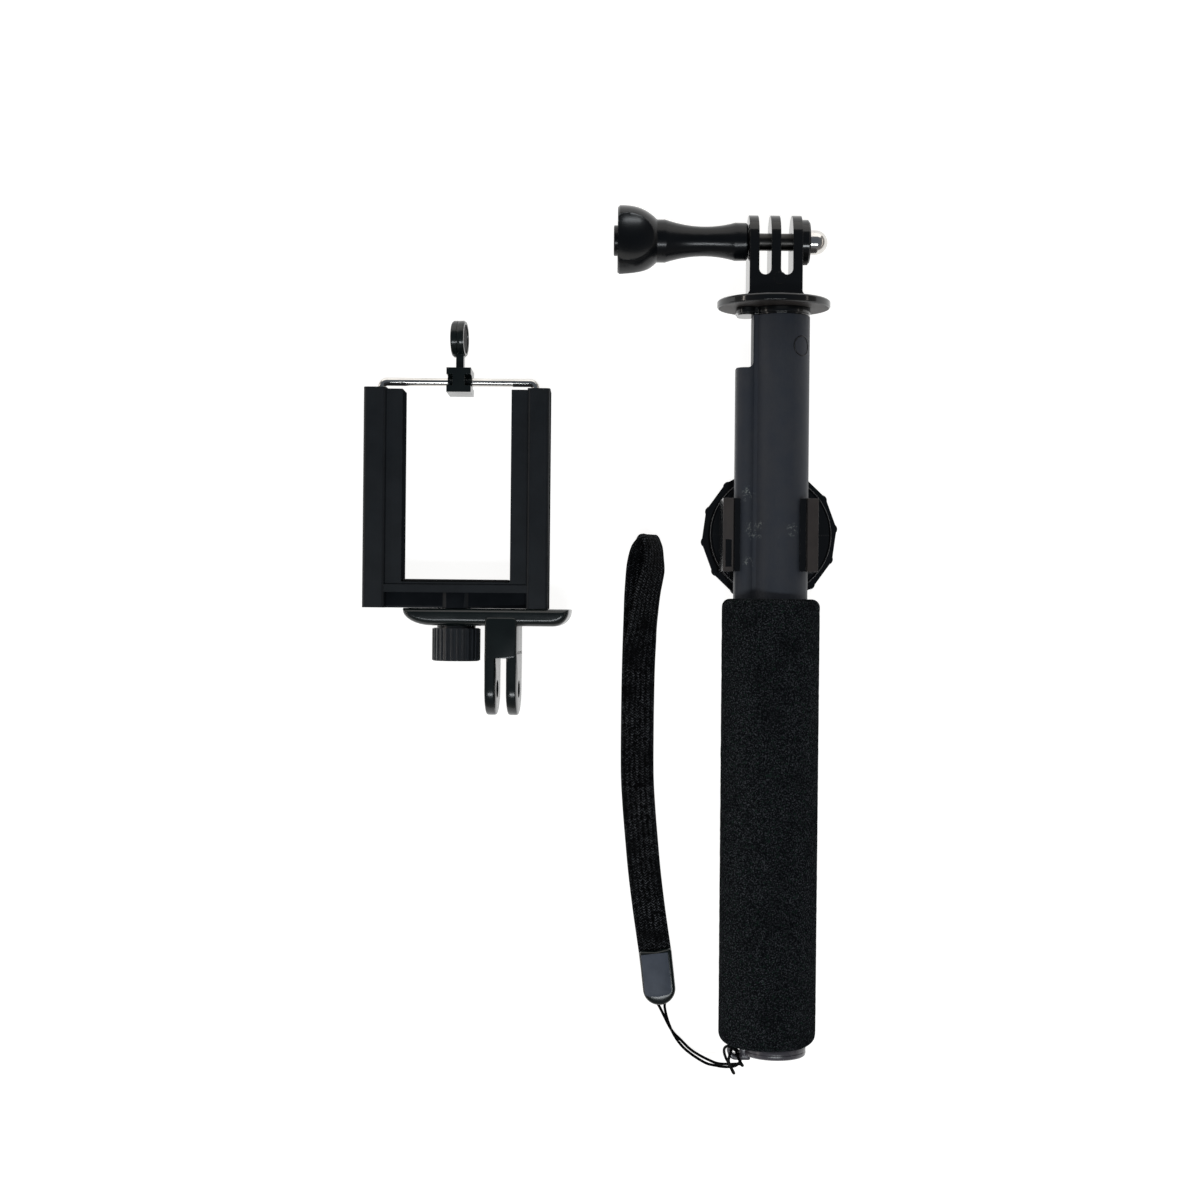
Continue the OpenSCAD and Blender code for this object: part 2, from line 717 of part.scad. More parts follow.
// Middle of the finger paddle, turned a little about its stem
module paddle_axis() {
    translate([clamp_x + claw_x - 0.3, bail_y + paddle_y, clamp_z]) rotate([0, -6, 0]) children();
}

module claw_pad() {
    color("dimgray") paddle_axis() x_rod(0, 0, paddle_t/2 - 0.7, paddle_t/2 - 0.3, paddle_r - 1.15);
}

// Frame of the adapter, turned about the thumb screw as it lies
module adapter_axis() {
    translate([clamp_x, 0, clamp_z]) rotate([0, adapter_turn, 0]) children();
}

module fork_adapter() {
    edge = 4.6;
    color("black") adapter_axis() difference() {
        union() {
            // Shallow boat-shaped plate
            translate([0, 0, -plate_d/2 + 1.6]) linear_extrude(plate_d - 3.2) plate_outline(edge, 0);
            translate([0, 0, -plate_d/2 + 0.5]) linear_extrude(plate_d - 1.0) plate_outline(edge, 0.7);
            translate([0, 0, -plate_d/2]) linear_extrude(plate_d) plate_outline(edge, 1.5);
            // Two-prong fork
            box([fork_x - fork_w/2, fork_y, -fork_r], [fork_x + fork_w/2, plate_y + 2.9, fork_r]);
            translate([fork_x - fork_w/2, fork_y, 0]) rotate([0, 90, 0]) cylinder(r = fork_r, h = fork_w);
        }
        box([fork_x - fork_slot/2, fork_y - 20, -20], [fork_x + fork_slot/2, fork_y + 9.0, 20]);
        translate([fork_x - 10, fork_y, 0]) rotate([0, 90, 0]) cylinder(r = fork_bore, h = 20);
        y_rod(0, 0, plate_y - 1, plate_y + plate_t + 1, screw_r + fit);
    }
}

// Side view of the adapter plate: flat top, long round at its left end, short round at its right, inset by g
module plate_outline(edge, g) {
    top = frame_y - 0.05;
    low = plate_y + g;
    long_end = 8.5;
    polygon(concat(
        [[plate_left + g, top], [plate_right - g, top]],
        [for (a = [0:10:90]) [plate_right - edge + (edge - g)*cos(a), low + (edge - g)*(1 - sin(a))]],
        [for (a = [90:10:180])
            [plate_left + long_end + (long_end - g)*cos(a), low + (edge - g)*(1 - sin(a))]]));
}

module thumb_knob() {
    ribs = 26;
    top = plate_y - 0.1;
    color("black") difference() {
        union() {
            y_rod(clamp_x, clamp_z, top - knob_len, top - 0.6, knob_r - 0.35);
            y_rod(clamp_x, clamp_z, top - 0.7, top, 5.6);
            for (i = [0:ribs - 1]) translate([clamp_x, 0, clamp_z]) rotate([0, i*360/ribs, 0])
                y_rod(knob_r - 0.45, 0, top - knob_len + 0.2, top - 0.8, 0.45);
        }
        y_rod(clamp_x, clamp_z, top - 4, top + 1, screw_r);
    }
}

module knob_screw() {
    color("silver") y_rod(clamp_x, clamp_z, plate_y - 4.1, frame_y + 5.6, screw_r);
}

// ---------- lanyard ----------

// Side faces and end faces of a tube of n rings
function tube_faces(n, sides) = concat(
    [[for (j = [0:sides - 1]) sides - 1 - j]],
    [for (i = [0:n - 2], j = [0:sides - 1]) let(k = (j + 1) % sides)
        [i*sides + j, i*sides + k, (i + 1)*sides + k, (i + 1)*sides + j]],
    [[for (j = [0:sides - 1]) (n - 1)*sides + j]]);

function unit(v) = v/norm(v);
function spline(a, b, c, d, t) =
    0.5*((2*b) + (c - a)*t + (2*a - 5*b + 4*c - d)*t*t + (3*b - a - 3*c + d)*t*t*t);
function smooth(p, n) = let(m = len(p) - 1) concat(
    [for (i = [0:m - 1], k = [0:n - 1])
        spline(p[max(i - 1, 0)], p[i], p[i + 1], p[min(i + 2, m)], k/n)], [p[m]]);
function tangent(p, i) = unit(p[min(i + 1, len(p) - 1)] - p[max(i - 1, 0)]);

// Tube swept along a route, its rings upright
module swept_tube(route, r, sides) {
    points = [for (i = [0:len(route) - 1], j = [0:sides - 1])
        let(t = tangent(route, i), u = unit(cross(t, [0.03, 0.02, 1])), v = cross(u, t), a = 360*j/sides)
        route[i] + r*cos(a)*u + r*sin(a)*v];
    polyhedron(points, tube_faces(len(route), sides));
}

module lanyard_cord() {
    color("black") swept_tube(smooth(cord_route, 3), cord_d/2, 8);
}

module cord_slider() {
    dir = unit(slider_end - slider_top);
    tilt = atan2(dir[0], -dir[1]);
    slider_len = norm(slider_end - slider_top);
    color("dimgray") translate([slider_top[0], slider_top[1], slider_h/2 + 0.05]) rotate([0, 0, tilt])
        translate([0, -slider_len/2, 0]) intersection() {
            cube([slider_w, slider_len, slider_h], center = true);
            translate([0, 0, -slider_h]) linear_extrude(2*slider_h) union() {
                translate([-slider_w/2, -slider_len/2 + 4]) square([slider_w, slider_len - 4]);
                translate([0, -slider_len/2 + 4.4]) circle(r = slider_w/2);
            }
        }
}

module wrist_strap() {
    route = smooth(strap_route, 3);
    widths = smooth(concat(strap_widths, [for (i = [len(strap_widths):len(strap_route) - 1]) strap_w]), 3);
    side = function (s) [for (i = [0:len(route) - 1])
        let(t = tangent(route, i)) route[i] + s*widths[i]/2*[-t[1], t[0]]];
    last = len(route) - 1;
    left = side(-1);
    right = side(1);
    color("black") translate([0, 0, 0.2]) linear_extrude(strap_t)
        polygon(concat(left, [for (i = [0:last]) right[last - i]]));
}

outer_tube();
foam_grip();
end_cap();
mouth_bush();
lock_button();
button_spring();
section_1();
section_2();
section_3();
section_4();
section_5();
foot_bush_1();
foot_bush_2();
foot_bush_3();
foot_bush_4();
foot_bush_5();
top_cap();
tripod_stud();
mount_head();
head_insert();
thumb_handle();
handle_cap();
clamp_bolt();
dome_nut();
clip_base();
twist_ring();
mirror_disc();
mirror_pad();
clamp_frame();
frame_plugs();
frame_insert();
base_pad();
bail_wire();
bail_feet();
bail_springs();
top_claw();
claw_pad();
fork_adapter();
thumb_knob();
knob_screw();
lanyard_cord();
cord_slider();
wrist_strap();
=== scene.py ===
import json
import math
import bpy
import bmesh
from mathutils import Matrix, Vector, noise


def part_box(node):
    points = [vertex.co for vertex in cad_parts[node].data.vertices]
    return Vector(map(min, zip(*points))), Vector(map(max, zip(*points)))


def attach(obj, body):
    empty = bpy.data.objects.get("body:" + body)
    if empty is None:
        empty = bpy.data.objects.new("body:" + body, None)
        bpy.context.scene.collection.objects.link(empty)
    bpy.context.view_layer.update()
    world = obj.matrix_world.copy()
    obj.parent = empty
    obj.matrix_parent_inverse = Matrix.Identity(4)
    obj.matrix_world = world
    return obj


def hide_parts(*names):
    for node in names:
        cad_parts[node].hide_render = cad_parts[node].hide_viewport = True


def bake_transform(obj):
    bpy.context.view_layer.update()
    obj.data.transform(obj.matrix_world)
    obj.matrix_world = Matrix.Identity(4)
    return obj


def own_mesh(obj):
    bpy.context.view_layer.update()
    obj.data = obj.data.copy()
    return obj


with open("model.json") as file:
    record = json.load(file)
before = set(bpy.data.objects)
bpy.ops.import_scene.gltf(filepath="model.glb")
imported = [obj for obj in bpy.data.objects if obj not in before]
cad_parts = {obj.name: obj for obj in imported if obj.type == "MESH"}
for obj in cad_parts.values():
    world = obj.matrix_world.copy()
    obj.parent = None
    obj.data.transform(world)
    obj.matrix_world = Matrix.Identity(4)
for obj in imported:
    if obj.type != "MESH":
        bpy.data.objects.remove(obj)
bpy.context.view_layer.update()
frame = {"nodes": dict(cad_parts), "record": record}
MM = 0.001
NODES = frame["nodes"]
BODY_OF = {node: body for body, nodes in frame["record"]["behaviour"]["bodies"].items() for node in nodes}
SLOT_OF = {part["node"]: part["material_slot"] for part in frame["record"]["subparts"]}


def middle(node):
    low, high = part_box(node)
    return 0.5 * (low + high)


# ---------- camera ----------
AXIS_Z = middle("foam_grip").z
POLE_X = middle("foam_grip").x
CAMERA_HEIGHT = 555 * MM                     # above the pole axis
CAMERA_PLACE = (-0.4 * MM, 8.65 * MM)        # straight above the middle of the picture
CAMERA_ROLL = math.radians(0.55)
camera_data = bpy.data.cameras.new("camera")
camera_data.lens = 58.27
camera_data.sensor_width = 36
camera_data.clip_start = 0.01
camera = bpy.data.objects.new("camera", camera_data)
camera.location = (*CAMERA_PLACE, AXIS_Z + CAMERA_HEIGHT)
camera.rotation_euler = (0, 0, CAMERA_ROLL)
bpy.context.scene.collection.objects.link(camera)
bpy.context.scene.camera = camera
bpy.context.scene.view_settings.view_transform = "Standard"


# ---------- objects from points and faces ----------
def add_object(name, mesh, node=None, body=None, replaces=()):
    """A piece of the object, on the body and slot of a CAD node unless others are given."""
    obj = bpy.data.objects.new(name, mesh)
    bpy.context.scene.collection.objects.link(obj)
    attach(obj, body or BODY_OF[node])
    if replaces:
        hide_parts(*replaces)
    return obj


def mesh_of(name, points, faces, sharp=None):
    """A smooth mesh with its faces outwards, sharp where it turns by more than an angle in degrees."""
    mesh = bpy.data.meshes.new(name)
    mesh.from_pydata([tuple(p) for p in points], [], faces)
    bm = bmesh.new()
    bm.from_mesh(mesh)
    bmesh.ops.recalc_face_normals(bm, faces=bm.faces)
    bm.to_mesh(mesh)
    bm.free()
    mesh.shade_smooth()
    if sharp:
        mesh.set_sharp_from_angle(angle=math.radians(sharp))
    return mesh


def stacked(rings):
    """Points and faces of a closed solid through rings of equal numbers of points."""
    n = len(rings[0])
    faces = grid_faces(len(rings), n, closed_columns=True)
    faces += [tuple(range(n)), tuple(range((len(rings) - 1) * n, len(rings) * n))]
    return [p for ring in rings for p in ring], faces


def eyed_plate(centre, axis, reach, hole, half, edge):
    """Points and faces of a plate round an eye, its rim at reach(angle) from the eye and rounded."""
    count = 72
    levels = [(-half, edge), (-half + 0.3 * edge, 0.3 * edge), (-half + edge, 0), (half - edge, 0),
              (half - 0.3 * edge, 0.3 * edge), (half, edge)]
    bore = [(half, hole + 0.15), (half - 0.15, hole), (-half + 0.15, hole), (-half, hole + 0.15)]
    points = []
    for at, value in levels + bore:
        for j in range(count):
            angle = 2 * math.pi * j / count
            radius = value if (at, value) in bore else reach(angle) - value
            u, v = radius * math.cos(angle), radius * math.sin(angle)
            points.append(centre + (Vector((at, u, v)) if axis == "X" else Vector((u, v, at))))
    return points, grid_faces(len(levels + bore), count, True, True)


def joined(name, solids, place=Matrix.Identity(4), sharp=None):
    """One mesh from several solids given in mm."""
    points, faces = [], []
    for some_points, some_faces in solids:
        start = len(points)
        points += [place @ (Vector(p) * MM) for p in some_points]
        faces += [tuple(start + i for i in face) for face in some_faces]
    return mesh_of(name, points, faces, sharp)


def spline_points(points, steps):
    """Catmull-Rom points through a list of points."""
    n = len(points)
    out = []
    for i in range(n - 1):
        a, b, c, d = points[max(i - 1, 0)], points[i], points[i + 1], points[min(i + 2, n - 1)]
        for k in range(steps):
            t = k / steps
            out.append(0.5 * (2 * b + (c - a) * t + (2 * a - 5 * b + 4 * c - d) * t * t
                              + (3 * b - a - 3 * c + d) * t ** 3))
    out.append(points[-1])
    return out


def grid_faces(rows, columns, closed_rows=False, closed_columns=False):
    """Four-sided faces of a grid of points numbered row by row."""
    faces = []
    for i in range(rows if closed_rows else rows - 1):
        for j in range(columns if closed_columns else columns - 1):
            i2, j2 = (i + 1) % rows, (j + 1) % columns
            faces.append((i * columns + j, i * columns + j2, i2 * columns + j2, i2 * columns + j))
    return faces


def curve_object(name, points, radius, body, cyclic=False, replaces=()):
    """A round wire along a line of points."""
    data = bpy.data.curves.new(name, "CURVE")
    data.dimensions = "3D"
    data.bevel_depth = 1  # times each point's own radius, which Blender counts into the bounds
    data.bevel_resolution = 3
    data.use_fill_caps = True
    spline = data.splines.new("POLY")
    spline.points.add(len(points) - 1)
    for p, co in zip(spline.points, points):
        p.co = (*co, 1)
        p.radius = radius
    spline.use_cyclic_u = cyclic
    spline.use_smooth = True
    return add_object(name, data, body=body, replaces=replaces)


# ---------- lanyard cord ----------
CORD_D = 0.8 * MM
# Out of the lug's eye, through the slider and back
CORD_ROUTE = [Vector(p) * MM for p in (
    (39.6, -119.5, 16.4), (39.65, -119.7, 18.6), (40.05, -120.8, 20.1), (40.9, -122.4, 20.0),
    (41.5, -123.7, 17.4), (40.8, -124.2, 13.3), (37.8, -125.2, 9.4), (34.2, -125.8, 4.9),
    (28.2, -123.5, 1.2), (24.4, -120.0, 1.4), (21.6, -116.9, 1.9), (18.2, -110.4, 1.9),
    (16.3, -107.2, 1.9), (17.4, -105.0, 1.8), (19.7, -105.0, 1.6), (20.7, -107.4, 1.4),
    (19.7, -110.4, 1.2), (21.6, -117.0, 0.6), (25.3, -122.5, 0.6), (31.2, -126.4, 1.9),
    (34.8, -126.8, 4.7), (37.7, -126.3, 8.3), (40.2, -125.2, 10.8), (41.4, -123.2, 11.6),
    (40.9, -121.2, 11.9), (39.8, -119.8, 13.5), (39.6, -119.5, 16.0))]
cord_line = spline_points(CORD_ROUTE, 6)
cord = curve_object("lanyard_cord_line", cord_line, CORD_D / 2, "handle", replaces=["lanyard_cord"])
# The knot round the lug
HITCH_ROUTE = [Vector(p) * MM for p in (
    (39.2, -119.1, 18.2), (38.4, -118.5, 19.2), (37.7, -120.4, 18.9), (37.6, -122.6, 16.6),
    (38.3, -124.8, 13.2), (39.6, -127.6, 9.9), (39.3, -127.5, 8.9), (38.4, -125.6, 8.3),
    (37.3, -123.4, 10.6), (36.5, -120.9, 13.6), (36.4, -119.0, 16.4), (37.1, -117.9, 18.6),
    (38.6, -118.0, 19.6), (39.9, -119.1, 18.2))]
hitch = curve_object("lanyard_hitch", spline_points(HITCH_ROUTE, 5), CORD_D / 2, "handle")

# ---------- procedural finishes ----------
class Finish:
    """A material made of nodes around one Principled shader, its patterns in object metres."""

    def __init__(self, name, colour, rough, metal=0.0, specular=0.5, **constants):
        self.slot = name
        self.colour = colour
        self.material = bpy.data.materials.new(name + "_finish")
        self.material.use_nodes = True
        self.tree = self.material.node_tree
        self.shader = self.tree.nodes["Principled BSDF"]
        self.set(self.shader, {"Base Color": (*colour, 1), "Roughness": rough, "Metallic": metal,
                               "Specular IOR Level": specular, **constants})
        self.place = self.add("ShaderNodeTexCoord").outputs["Object"]
        self.normal = None

    @staticmethod
    def set(node, values):
        for key, value in values.items():
            node.inputs[key].default_value = value

    def add(self, kind, values=None, **settings):
        node = self.tree.nodes.new(kind)
        for key, value in settings.items():
            setattr(node, key, value)
        self.set(node, values or {})
        return node

    def join(self, source, target):
        self.tree.links.new(source, target)

    def stretched(self, scale):
        node = self.add("ShaderNodeMapping", {"Scale": scale})
        self.join(self.place, node.inputs["Vector"])
        return node.outputs["Vector"]

    def noise(self, size, detail=3.0, rough=0.55, place=None):
        node = self.add("ShaderNodeTexNoise", {"Scale": 1 / size, "Detail": detail, "Roughness": rough})
        self.join(place or self.place, node.inputs["Vector"])
        return node.outputs["Fac"]

    def cells(self, size):
        node = self.add("ShaderNodeTexVoronoi", {"Scale": 1 / size})
        self.join(self.place, node.inputs["Vector"])
        return node.outputs["Distance"]

    def math(self, operation, a, b):
        node = self.add("ShaderNodeMath", operation=operation)
        for socket, value in zip(node.inputs, (a, b)):
            if isinstance(value, (int, float)):
                socket.default_value = value
            else:
                self.join(value, socket)
        return node.outputs["Value"]

    def ranged(self, value, low, high, out_low, out_high):
        node = self.add("ShaderNodeMapRange", {1: low, 2: high, 3: out_low, 4: out_high})
        self.join(value, node.inputs[0])
        return node.outputs[0]

    def roughness(self, value, low, high, spread=0.25):
        """Roughness from low to high as the pattern goes through its middle."""
        self.join(self.ranged(value, 0.5 - spread, 0.5 + spread, low, high), self.shader.inputs["Roughness"])

    def tint(self, value, colour, low=0.35, high=0.65):
        """The pattern takes the base colour, so far, to another colour."""
        node = self.add("ShaderNodeMix", data_type="RGBA")
        base = self.shader.inputs["Base Color"]
        if base.is_linked:
            self.join(base.links[0].from_socket, node.inputs[6])
        else:
            node.inputs[6].default_value = (*self.colour, 1)
        node.inputs[7].default_value = (*colour, 1)
        self.join(self.ranged(value, low, high, 0, 1), node.inputs[0])
        self.join(node.outputs[2], base)

    def bump(self, value, height):
        node = self.add("ShaderNodeBump", {"Strength": 1.0, "Distance": height})
        self.join(value, node.inputs["Height"])
        if self.normal is not None:
            self.join(self.normal, node.inputs["Normal"])
        self.normal = node.outputs["Normal"]
        self.join(self.normal, self.shader.inputs["Normal"])


def grained(name, colour, rough, spread, grain, height, metal=0.0, specular=0.5, blotch=0.15, **constants):
    """Moulded or coated surface: fine grain in the bump, broad patches in colour and roughness."""
    f = Finish(name, colour, rough, metal, specular, **constants)
    f.roughness(f.noise(9 * MM), rough - spread, rough + spread)
    f.tint(f.noise(6 * MM, 4), tuple(c * (1 + 2 * blotch) + 0.0004 for c in colour))
    f.bump(f.noise(grain, 2), height)
    return f


def metal_finish(name, colour, rough, spread, streak, height):
    """Bare metal with streaks in its roughness, colour and bump; streak is their number per metre."""
    f = Finish(name, colour, rough, 1.0)
    lined = f.stretched(streak)
    f.roughness(f.noise(1.0, 3, place=lined), rough - spread, rough + spread)
    f.tint(f.noise(1.0, 2, place=lined), tuple(c * 0.86 for c in colour))
    f.bump(f.noise(0.5, 2, place=lined), height)
    return f


def anodised():
    """Satin charcoal tube with fine draw lines along it, and scuffs where the clip has slid."""
    f = Finish("anodised_tube", (0.0370, 0.0420, 0.0530), 0.47, 0.0, 0.14)
    lines = f.stretched((2600, 18, 2600))
    f.roughness(f.noise(1.0, 3, place=lines), 0.42, 0.54)
    f.tint(f.noise(5 * MM, 4), (0.0430, 0.0465, 0.0550))
    f.bump(f.noise(1.0, 2, place=lines), 0.005 * MM)
    f.bump(f.noise(0.12 * MM, 2), 0.010 * MM)
    # Scuffs: ragged spots inside small round patches
    ragged = f.ranged(f.noise(0.9 * MM, 4, 0.7), 0.52, 0.66, 0, 1)
    for at, size in SCUFFS:
        patch = f.add("ShaderNodeVectorMath", operation="DISTANCE")
        f.join(f.place, patch.inputs[0])
        patch.inputs[1].default_value = at
        spot = f.math("MULTIPLY", ragged, f.ranged(patch.outputs["Value"], 0.3 * size, size, 1, 0))
        f.tint(spot, (0.24, 0.26, 0.25), 0, 1)
    return f


def foam():
    """Closed-cell foam: near black with fine grey and green-grey speckle."""
    f = Finish("foam", (0.0042, 0.0048, 0.0058), 0.95, 0.0, 0.0)
    f.roughness(f.noise(2 * MM), 0.82, 0.98)
    f.tint(f.noise(0.40 * MM, 2, 0.7), (0.0600, 0.0650, 0.0720), 0.50, 0.70)
    f.tint(f.noise(0.9 * MM, 3, 0.7), (0.0100, 0.0210, 0.0160), 0.56, 0.68)
    f.tint(f.noise(9 * MM, 3), (0.0030, 0.0034, 0.0040), 0.50, 0.95)
    dust = f.ranged(f.cells(2.6 * MM), 0.035, 0.055, 1, 0)
    f.tint(dust, (0.08, 0.085, 0.075), 0, 1)
    f.bump(f.noise(0.45 * MM, 3, 0.7), 0.12 * MM)
    f.bump(f.cells(0.30 * MM), 0.05 * MM)
    return f


def webbing():
    """Woven tape: chevrons across the tape from its own width and length coordinates; the raised threads are
    painted lighter than the grooves between them, a painted highlight and painted shade.
    """
    f = Finish("webbing", (0.0008, 0.0009, 0.0012), 0.8, 0.0, 0.04)
    f.roughness(f.noise(2 * MM), 0.65, 0.85)
    tape = f.add("ShaderNodeUVMap", uv_map="tape").outputs["UV"]
    split = f.add("ShaderNodeSeparateXYZ")
    f.join(tape, split.inputs[0])
    across, along = split.outputs["X"], split.outputs["Y"]
    zig = f.math("PINGPONG", across, 0.75 * MM)
    wave = f.math("MULTIPLY", f.math("ADD", along, zig), 2 * math.pi / (0.78 * MM))
    thread = f.ranged(f.math("SINE", wave, 0), -1, 1, 0, 1)
    ribs = f.math("MULTIPLY", across, 2 * math.pi / (1.5 * MM))
    column = f.ranged(f.math("COSINE", ribs, 0), -1, 1, 0.55, 1)
    uneven = f.ranged(f.noise(0.5 * MM, 2), 0.35, 0.65, 0.15, 1.3)
    weave_relief_and_painted_sheen = f.math("MULTIPLY", f.math("MULTIPLY", thread, column), uneven)
    # Painted highlight and shade: the weave's raised threads are painted light grey and the grooves between them
    # stay dark
    f.tint(weave_relief_and_painted_sheen, (0.0950, 0.1000, 0.1080), 0.30, 1.0)
    f.tint(f.noise(7 * MM, 3), (0.0016, 0.0017, 0.0020), 0.45, 0.75)
    f.bump(weave_relief_and_painted_sheen, 0.10 * MM)
    return f


def braided_cord():
    f = Finish("cord", (0.0010, 0.0011, 0.0014), 0.8, 0.0, 0.03)
    f.roughness(f.noise(1.5 * MM), 0.7, 0.9)
    f.tint(f.noise(0.35 * MM, 3), (0.012, 0.0125, 0.014), 0.5, 0.7)
    f.bump(f.cells(0.22 * MM), 0.05 * MM)
    return f


def mirror():
    f = Finish("mirror", (0.86, 0.88, 0.89), 0.03, 1.0)
    f.roughness(f.noise(6 * MM), 0.01, 0.05)
    f.tint(f.noise(14 * MM, 4), (0.80, 0.83, 0.85))
    return f


CLIP = middle("clip_base")
TUBE_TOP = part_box("outer_tube")[1].z
# Where the tube is scuffed, round the clip, and how far each scuff reaches
SCUFFS = [(Vector((CLIP.x + x * MM, CLIP.y + y * MM, TUBE_TOP - z * MM)), size * MM) for x, y, z, size in (
    (-7.6, 11.5, 3.0, 2.2), (-6.4, 1.2, 3.2, 2.6), (-5.6, -0.8, 2.6, 2.0), (4.9, 0.9, 0.6, 2.2),
    (-7.4, -8.3, 3.0, 2.0), (-8.2, 10.0, 4.0, 1.6), (-4.4, 2.4, 2.0, 1.4))]

finishes = [
    anodised(), foam(), webbing(), braided_cord(), mirror(),
    metal_finish("bare_tube", (0.62, 0.63, 0.65), 0.20, 0.05, (2400, 14, 2400), 0.004 * MM),
    metal_finish("chrome", (0.74, 0.72, 0.69), 0.15, 0.05, (260, 260, 260), 0.004 * MM),
    metal_finish("dark_steel", (0.050, 0.048, 0.046), 0.36, 0.07, (500, 500, 500), 0.008 * MM),
    metal_finish("spring_steel", (0.52, 0.50, 0.47), 0.26, 0.06, (700, 700, 700), 0.006 * MM),
    metal_finish("brass", (0.70, 0.52, 0.26), 0.28, 0.06, (600, 600, 600), 0.006 * MM),
    grained("gloss_black", (0.0026, 0.0030, 0.0036), 0.12, 0.03, 0.35 * MM, 0.0006 * MM),
    grained("satin_black", (0.0072, 0.0092, 0.0116), 0.42, 0.05, 0.16 * MM, 0.010 * MM, specular=0.25),
    grained("handle_black", (0.0026, 0.0033, 0.0042), 0.23, 0.04, 0.30 * MM, 0.004 * MM, specular=0.30),
    grained("green_black", (0.0036, 0.0066, 0.0066), 0.22, 0.05, 0.22 * MM, 0.006 * MM),
    grained("knob_black", (0.0150, 0.0175, 0.0205), 0.22, 0.04, 0.20 * MM, 0.006 * MM),
    # Dull copy of the satin black, with no reflection, for the clamp's side walls and low sill tops: painted
    # shade
    grained("painted_shade_matte", (0.0085, 0.0100, 0.0120), 0.85, 0.05, 0.16 * MM, 0.006 * MM, specular=0.0),
    # Purple-grey over the whole black end cap: a painted reflection standing in for the sheen on its gloss band
    grained("end_cap_painted_sheen", (0.0700, 0.0660, 0.0760), 0.26, 0.05, 0.25 * MM, 0.004 * MM),
    # Duller warm-brown copy of the gloss black for the head's faces turned towards -Y: a painted warm reflection
    grained("painted_warm_reflection", (0.0200, 0.0165, 0.0150), 0.50, 0.05, 0.25 * MM, 0.006 * MM, specular=0.20),
    # Warm brown-grey for the tilted tops of the clip's arms: a painted reflection of the warm side light
    grained("arm_painted_reflection", (0.0290, 0.0235, 0.0215), 0.42, 0.05, 0.20 * MM, 0.008 * MM),
    grained("slider_grey", (0.0660, 0.0770, 0.0990), 0.55, 0.06, 0.20 * MM, 0.012 * MM, specular=0.3),
    grained("guide_plastic", (0.72, 0.71, 0.67), 0.42, 0.05, 0.25 * MM, 0.008 * MM),
    grained("pad_rubber", (0.012, 0.012, 0.013), 0.78, 0.07, 0.18 * MM, 0.020 * MM, specular=0.3),
    grained("adhesive_foam", (0.52, 0.51, 0.48), 0.9, 0.05, 0.4 * MM, 0.05 * MM, specular=0.2),
]
MATERIALS = {f.slot: f.material for f in finishes}


def dress(obj, slot, second=None, test=None):
    """Puts a finish on a piece, and another one on the faces that pass the test."""
    obj.data.materials.clear()
    obj.data.materials.append(MATERIALS[slot])
    if second:
        obj.data.materials.append(MATERIALS[second])
        for face in obj.data.polygons:
            face.material_index = int(test(face.center, face.normal))
    return obj


# ---------- CAD nodes with rounded edges ----------
FLAT_ANGLE, CORNER_ANGLE, SHARP_ANGLE = (math.radians(a) for a in (0.6, 30, 40))


def soften(mesh, edge):
    """Cleans a triangulated CAD mesh and rounds its sharp edges."""
    bm = bmesh.new()
    bm.from_mesh(mesh)
    bmesh.ops.remove_doubles(bm, verts=bm.verts, dist=2e-6)
    bmesh.ops.dissolve_limit(bm, angle_limit=FLAT_ANGLE, verts=bm.verts, edges=bm.edges)
    sharp = [e for e in bm.edges if len(e.link_faces) == 2 and e.calc_face_angle(0) > CORNER_ANGLE]
    bmesh.ops.bevel(bm, geom=sharp, offset=edge, offset_type="OFFSET", segments=2, profile=0.5,
                    affect="EDGES", clamp_overlap=True)
    bmesh.ops.dissolve_degenerate(bm, edges=bm.edges, dist=1e-6)
    for face in bm.faces:
        face.smooth = True
    out = bpy.data.meshes.new(mesh.name + "_soft")
    bm.to_mesh(out)
    bm.free()
    out.set_sharp_from_angle(angle=SHARP_ANGLE)
    return out


def rounded(node, edge):
    obj = add_object(node + "_shape", soften(NODES[node].data, edge * MM), node=node, replaces=[node])
    weights = obj.modifiers.new("even_faces", "WEIGHTED_NORMAL")
    weights.keep_sharp = True
    return dress(obj, *FINISH_OF.get(node, (SLOT_OF[node],)))


# Faces that take a piece's second finish
# Tilted tops of the clip's arms, which get the painted brown reflection
def arm_face(at, normal):
    aside = (at.x - POLE_X) / MM
    return 0.7 < normal.z < 0.99 and at.z > AXIS_Z + 5 * MM and (aside < -11.2 or aside > 9.3)


# Faces turned towards -Y, which get the painted warm reflection
def under_face(at, normal):
    return normal.y < -0.9


# Side walls and low sill tops of the clamp, which get the painted-shade copy
def inner_face(at, normal):
    return abs(normal.x) > 0.95 or (normal.z > 0.9 and at.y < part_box("clamp_frame")[0].y + 5 * MM)


# The second finishes here are painted light: a warm reflection on the head, shade on the clamp's sides, a brown
# reflection on the clip's arms
FINISH_OF = {
    "thumb_handle": ("handle_black",), "handle_cap": ("handle_black",), "thumb_knob": ("knob_black",),
    "mount_head": ("gloss_black", "painted_warm_reflection", under_face),
    "clamp_frame": ("satin_black", "painted_shade_matte", inner_face),
    "top_claw": ("green_black",), "clip_base": ("gloss_black", "arm_painted_reflection", arm_face),
}
